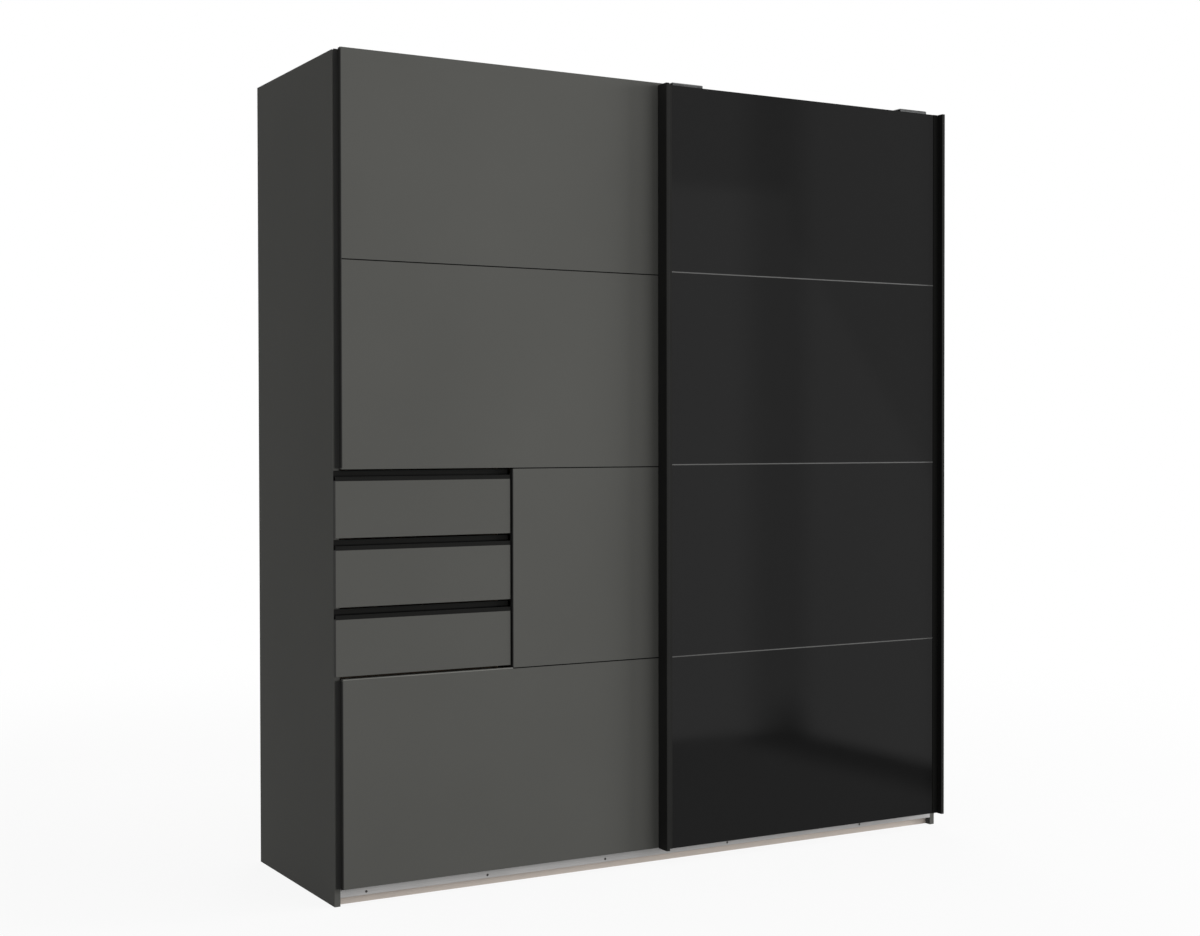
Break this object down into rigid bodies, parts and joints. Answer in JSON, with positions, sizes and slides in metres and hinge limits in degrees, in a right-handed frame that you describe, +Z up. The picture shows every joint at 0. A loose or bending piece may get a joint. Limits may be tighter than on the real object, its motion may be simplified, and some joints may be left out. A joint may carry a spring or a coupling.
{
  "type": "sliding door wardrobe",
  "caption": "Graphite wardrobe with a board door and a dark glass door that slide past each other, and drawers with grip channels outside the board door.",
  "frame": {"origin": "middle of the whole footprint, on the floor", "axes": "+X to the right, +Y to the back, +Z up; the doors and the drawers face -Y"},
  "size_m": [2, 0.647, 2.2243],
  "materials": {
    "carcass_graphite": "matt melamine-faced board",
    "door_graphite": "matt melamine-faced board",
    "interior_board": "linen-textured melamine board",
    "drawer_board": "linen-textured melamine board",
    "plinth_board": "plain melamine board",
    "backing_board": "dark melamine board",
    "anodised_aluminium": "satin anodised",
    "black_aluminium": "black anodised, satin",
    "black_strip": "matt",
    "pale_strip": "satin anodised",
    "zinc_steel": "bright zinc plated",
    "dark_screw_steel": "dark zinc plated",
    "runner_steel": "white powder coat",
    "nylon": "plain",
    "stop_rubber": "matt",
    "guide_plastic": "matt",
    "dark_glass": "back-painted gloss glass"
  },
  "bodies": {
    "carcass": {"side_panel_left": "carcass_graphite", "side_panel_right": "carcass_graphite", "centre_partition": "interior_board", "top_panel": "carcass_graphite", "bottom_panel": "interior_board", "plinth_boards": "plinth_board", "back_panel_left": "interior_board", "back_panel_right": "interior_board", "drawer_partition": "interior_board", "middle_board": "interior_board", "drawer_unit_floor": "interior_board", "hat_shelves": "interior_board", "clothes_rails": "anodised_aluminium", "clothes_rail_sockets": "nylon", "shelf_pins": "zinc_steel", "top_track": "anodised_aluminium", "track_end_stops": "stop_rubber", "bottom_guide_rail": "anodised_aluminium", "guide_rail_screws": "dark_screw_steel", "cabinet_runners": "runner_steel"},
    "left_door": {"left_door_panel_1": "door_graphite", "left_door_panel_2": "door_graphite", "left_door_panel_3": "door_graphite", "left_door_panel_4": "door_graphite", "left_door_edge_profiles": "black_aluminium", "left_door_joint_strips": "black_strip", "left_door_carriages": "zinc_steel", "left_door_guides": "guide_plastic"},
    "left_door_outer_wheel": {"left_door_wheel_1": "nylon"},
    "left_door_inner_wheel": {"left_door_wheel_2": "nylon"},
    "right_door": {"right_door_pane_1": "dark_glass", "right_door_pane_2": "dark_glass", "right_door_pane_3": "dark_glass", "right_door_pane_4": "dark_glass", "right_door_backing": "backing_board", "right_door_handle_left": "black_aluminium", "right_door_handle_right": "black_aluminium", "right_door_joint_strips": "pale_strip", "right_door_carriages": "zinc_steel", "right_door_guides": "guide_plastic"},
    "right_door_inner_wheel": {"right_door_wheel_1": "nylon"},
    "right_door_outer_wheel": {"right_door_wheel_2": "nylon"},
    "drawer_1": {"drawer_1_front": "door_graphite", "drawer_1_grip": "black_aluminium", "drawer_1_box": "drawer_board", "drawer_1_runners": "runner_steel"},
    "drawer_1_front_roller_pair": {"drawer_1_front_rollers": "nylon"},
    "drawer_1_rear_roller_pair": {"drawer_1_rear_rollers": "nylon"},
    "drawer_2": {"drawer_2_front": "door_graphite", "drawer_2_grip": "black_aluminium", "drawer_2_box": "drawer_board", "drawer_2_runners": "runner_steel"},
    "drawer_2_front_roller_pair": {"drawer_2_front_rollers": "nylon"},
    "drawer_2_rear_roller_pair": {"drawer_2_rear_rollers": "nylon"},
    "drawer_3": {"drawer_3_front": "door_graphite", "drawer_3_grip": "black_aluminium", "drawer_3_box": "drawer_board", "drawer_3_runners": "runner_steel"},
    "drawer_3_front_roller_pair": {"drawer_3_front_rollers": "nylon"},
    "drawer_3_rear_roller_pair": {"drawer_3_rear_rollers": "nylon"}
  },
  "joints": [
    {"name": "left_door_slide", "type": "slide", "parent": "carcass", "child": "left_door", "axis": [1, 0, 0], "range_m": [0, 0.95]},
    {"name": "right_door_slide", "type": "slide", "parent": "carcass", "child": "right_door", "axis": [1, 0, 0], "range_m": [-0.95, 0]},
    {"name": "left_door_outer_wheel_spin", "type": "hinge", "parent": "left_door", "child": "left_door_outer_wheel", "pos_m": [-0.889, -0.2455, 2.1978], "axis": [0, 1, 0], "range_deg": [0, 5730]},
    {"name": "left_door_inner_wheel_spin", "type": "hinge", "parent": "left_door", "child": "left_door_inner_wheel", "pos_m": [-0.066, -0.2455, 2.1978], "axis": [0, 1, 0], "range_deg": [0, 5730]},
    {"name": "right_door_inner_wheel_spin", "type": "hinge", "parent": "right_door", "child": "right_door_inner_wheel", "pos_m": [0.066, -0.2215, 2.1978], "axis": [0, 1, 0], "range_deg": [-5730, 0]},
    {"name": "right_door_outer_wheel_spin", "type": "hinge", "parent": "right_door", "child": "right_door_outer_wheel", "pos_m": [0.889, -0.2215, 2.1978], "axis": [0, 1, 0], "range_deg": [-5730, 0]},
    {"name": "drawer_1_slide", "type": "slide", "parent": "carcass", "child": "drawer_1", "axis": [0, -1, 0], "range_m": [0, 0.35]},
    {"name": "drawer_1_front_rollers_spin", "type": "hinge", "parent": "carcass", "child": "drawer_1_front_roller_pair", "pos_m": [-0.748, -0.2115, 0.97042], "axis": [1, 0, 0], "range_deg": [0, 1824]},
    {"name": "drawer_1_rear_rollers_spin", "type": "hinge", "parent": "drawer_1", "child": "drawer_1_rear_roller_pair", "pos_m": [-0.748, 0.2075, 0.97042], "axis": [1, 0, 0], "range_deg": [0, 1824]},
    {"name": "drawer_2_slide", "type": "slide", "parent": "carcass", "child": "drawer_2", "axis": [0, -1, 0], "range_m": [0, 0.35]},
    {"name": "drawer_2_front_rollers_spin", "type": "hinge", "parent": "carcass", "child": "drawer_2_front_roller_pair", "pos_m": [-0.748, -0.2115, 0.79133], "axis": [1, 0, 0], "range_deg": [0, 1824]},
    {"name": "drawer_2_rear_rollers_spin", "type": "hinge", "parent": "drawer_2", "child": "drawer_2_rear_roller_pair", "pos_m": [-0.748, 0.2075, 0.79133], "axis": [1, 0, 0], "range_deg": [0, 1824]},
    {"name": "drawer_3_slide", "type": "slide", "parent": "carcass", "child": "drawer_3", "axis": [0, -1, 0], "range_m": [0, 0.35]},
    {"name": "drawer_3_front_rollers_spin", "type": "hinge", "parent": "carcass", "child": "drawer_3_front_roller_pair", "pos_m": [-0.748, -0.2115, 0.61225], "axis": [1, 0, 0], "range_deg": [0, 1824]},
    {"name": "drawer_3_rear_rollers_spin", "type": "hinge", "parent": "drawer_3", "child": "drawer_3_rear_roller_pair", "pos_m": [-0.748, 0.2075, 0.61225], "axis": [1, 0, 0], "range_deg": [0, 1824]}
  ],
  "couplings": [
    {"joint": "left_door_outer_wheel_spin", "follows": "left_door_slide", "rad_per_m": 105.26},
    {"joint": "left_door_inner_wheel_spin", "follows": "left_door_slide", "rad_per_m": 105.26},
    {"joint": "right_door_inner_wheel_spin", "follows": "right_door_slide", "rad_per_m": 105.26},
    {"joint": "right_door_outer_wheel_spin", "follows": "right_door_slide", "rad_per_m": 105.26},
    {"joint": "drawer_1_front_rollers_spin", "follows": "drawer_1_slide", "rad_per_m": 90.909},
    {"joint": "drawer_1_rear_rollers_spin", "follows": "drawer_1_slide", "rad_per_m": 90.909},
    {"joint": "drawer_2_front_rollers_spin", "follows": "drawer_2_slide", "rad_per_m": 90.909},
    {"joint": "drawer_2_rear_rollers_spin", "follows": "drawer_2_slide", "rad_per_m": 90.909},
    {"joint": "drawer_3_front_rollers_spin", "follows": "drawer_3_slide", "rad_per_m": 90.909},
    {"joint": "drawer_3_rear_rollers_spin", "follows": "drawer_3_slide", "rad_per_m": 90.909}
  ]
}
